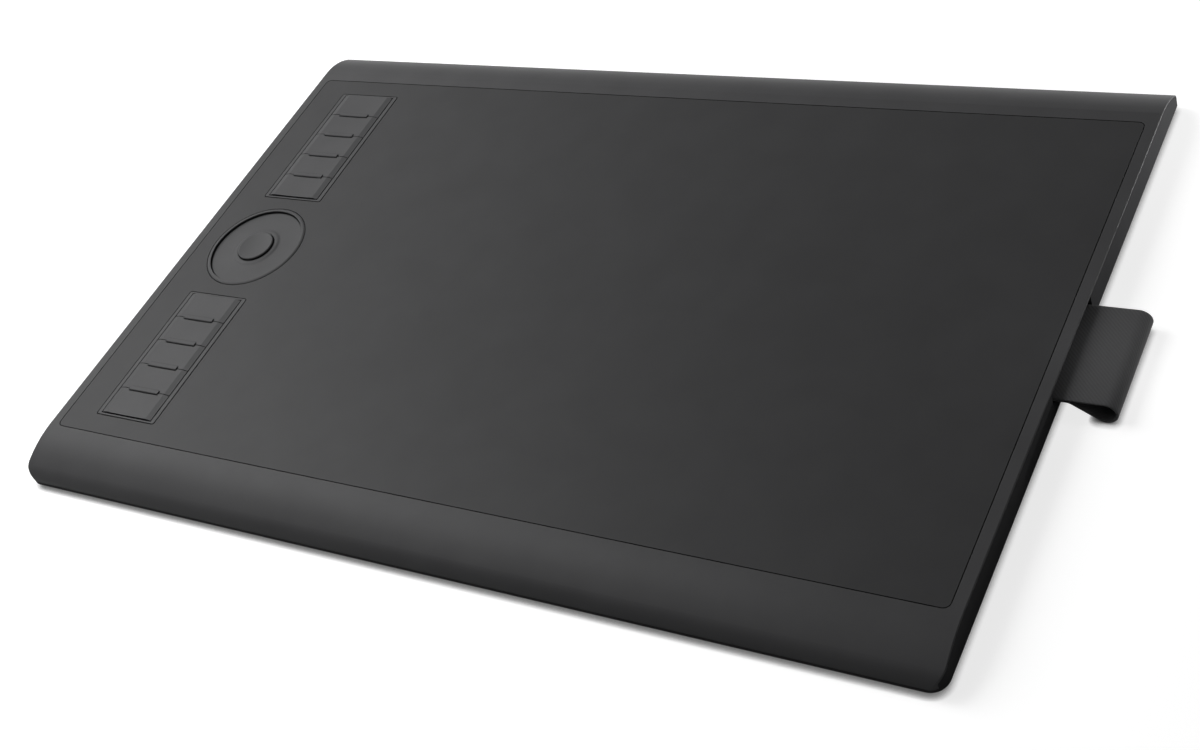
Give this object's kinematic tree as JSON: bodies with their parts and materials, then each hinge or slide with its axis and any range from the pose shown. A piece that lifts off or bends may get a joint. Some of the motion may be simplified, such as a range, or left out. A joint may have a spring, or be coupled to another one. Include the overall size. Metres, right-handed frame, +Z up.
{
  "type": "pen tablet",
  "caption": "Slim desktop pen tablet: rolled front and back edges, flush drawing surface, strips of press keys, touch ring with centre button and a fabric pen loop.",
  "frame": {"origin": "on the desk, under the middle of the whole footprint, the pen loop included", "axes": "+X along the long side towards the pen loop, +Y towards the back edge, +Z up"},
  "size_m": [0.3784, 0.2408, 0.0128],
  "materials": {
    "case_plastic": "fine matt grain, black",
    "cover_plastic": "fine matt grain, charcoal",
    "surface_sheet": "very fine matt texture, charcoal",
    "key_plastic": "smooth satin, charcoal",
    "adhesive": "thin translucent film",
    "circuit_board": "green solder mask",
    "steel": "plain",
    "switch_plastic": "moulded",
    "flat_cable": "amber film",
    "loop_fabric": "fine diagonal weave",
    "foot_rubber": "matt"
  },
  "bodies": {
    "case": {"bottom_case": "case_plastic", "top_cover": "cover_plastic", "work_surface": "surface_sheet", "surface_adhesive": "adhesive", "sensor_board": "circuit_board", "shield_plate": "steel", "upper_key_frame": "key_plastic", "lower_key_frame": "key_plastic", "upper_key_board": "circuit_board", "lower_key_board": "circuit_board", "upper_key_switches": "switch_plastic", "lower_key_switches": "switch_plastic", "centre_switch": "switch_plastic", "ring_rim": "key_plastic", "touch_ring": "key_plastic", "ring_electrode": "flat_cable", "ring_board": "circuit_board", "main_board": "circuit_board", "main_board_parts": "switch_plastic", "usb_board": "circuit_board", "upper_key_cable": "flat_cable", "lower_key_cable": "flat_cable", "ring_cable": "flat_cable", "usb_cable": "flat_cable", "sensor_cable": "flat_cable", "usb_socket": "steel", "pen_loop": "loop_fabric", "strap_clamp": "case_plastic", "clamp_screws": "steel", "case_screws": "steel", "board_screws": "steel", "main_board_screws": "steel", "front_left_foot": "foot_rubber", "front_right_foot": "foot_rubber", "back_left_foot": "foot_rubber", "back_right_foot": "foot_rubber"},
    "key_1": {"key_1": "key_plastic", "key_1_plunger": "switch_plastic"},
    "key_2": {"key_2": "key_plastic", "key_2_plunger": "switch_plastic"},
    "key_3": {"key_3": "key_plastic", "key_3_plunger": "switch_plastic"},
    "key_4": {"key_4": "key_plastic", "key_4_plunger": "switch_plastic"},
    "key_5": {"key_5": "key_plastic", "key_5_plunger": "switch_plastic"},
    "key_6": {"key_6": "key_plastic", "key_6_plunger": "switch_plastic"},
    "key_7": {"key_7": "key_plastic", "key_7_plunger": "switch_plastic"},
    "key_8": {"key_8": "key_plastic", "key_8_plunger": "switch_plastic"},
    "key_9": {"key_9": "key_plastic", "key_9_plunger": "switch_plastic"},
    "key_10": {"key_10": "key_plastic", "key_10_plunger": "switch_plastic"},
    "centre_button": {"centre_button": "key_plastic", "centre_plunger": "switch_plastic"}
  },
  "joints": [
    {"name": "key_1_press", "type": "slide", "parent": "case", "child": "key_1", "axis": [0, 0, 1], "range_m": [-0.0005, 0], "stiffness_N_per_m": 2000, "springref_m": 0.0001},
    {"name": "key_2_press", "type": "slide", "parent": "case", "child": "key_2", "axis": [0, 0, 1], "range_m": [-0.0005, 0], "stiffness_N_per_m": 2000, "springref_m": 0.0001},
    {"name": "key_3_press", "type": "slide", "parent": "case", "child": "key_3", "axis": [0, 0, 1], "range_m": [-0.0005, 0], "stiffness_N_per_m": 2000, "springref_m": 0.0001},
    {"name": "key_4_press", "type": "slide", "parent": "case", "child": "key_4", "axis": [0, 0, 1], "range_m": [-0.0005, 0], "stiffness_N_per_m": 2000, "springref_m": 0.0001},
    {"name": "key_5_press", "type": "slide", "parent": "case", "child": "key_5", "axis": [0, 0, 1], "range_m": [-0.0005, 0], "stiffness_N_per_m": 2000, "springref_m": 0.0001},
    {"name": "key_6_press", "type": "slide", "parent": "case", "child": "key_6", "axis": [0, 0, 1], "range_m": [-0.0005, 0], "stiffness_N_per_m": 2000, "springref_m": 0.0001},
    {"name": "key_7_press", "type": "slide", "parent": "case", "child": "key_7", "axis": [0, 0, 1], "range_m": [-0.0005, 0], "stiffness_N_per_m": 2000, "springref_m": 0.0001},
    {"name": "key_8_press", "type": "slide", "parent": "case", "child": "key_8", "axis": [0, 0, 1], "range_m": [-0.0005, 0], "stiffness_N_per_m": 2000, "springref_m": 0.0001},
    {"name": "key_9_press", "type": "slide", "parent": "case", "child": "key_9", "axis": [0, 0, 1], "range_m": [-0.0005, 0], "stiffness_N_per_m": 2000, "springref_m": 0.0001},
    {"name": "key_10_press", "type": "slide", "parent": "case", "child": "key_10", "axis": [0, 0, 1], "range_m": [-0.0005, 0], "stiffness_N_per_m": 2000, "springref_m": 0.0001},
    {"name": "centre_button_press", "type": "slide", "parent": "case", "child": "centre_button", "axis": [0, 0, 1], "range_m": [-0.0005, 0], "stiffness_N_per_m": 2000, "springref_m": 0.0001}
  ]
}
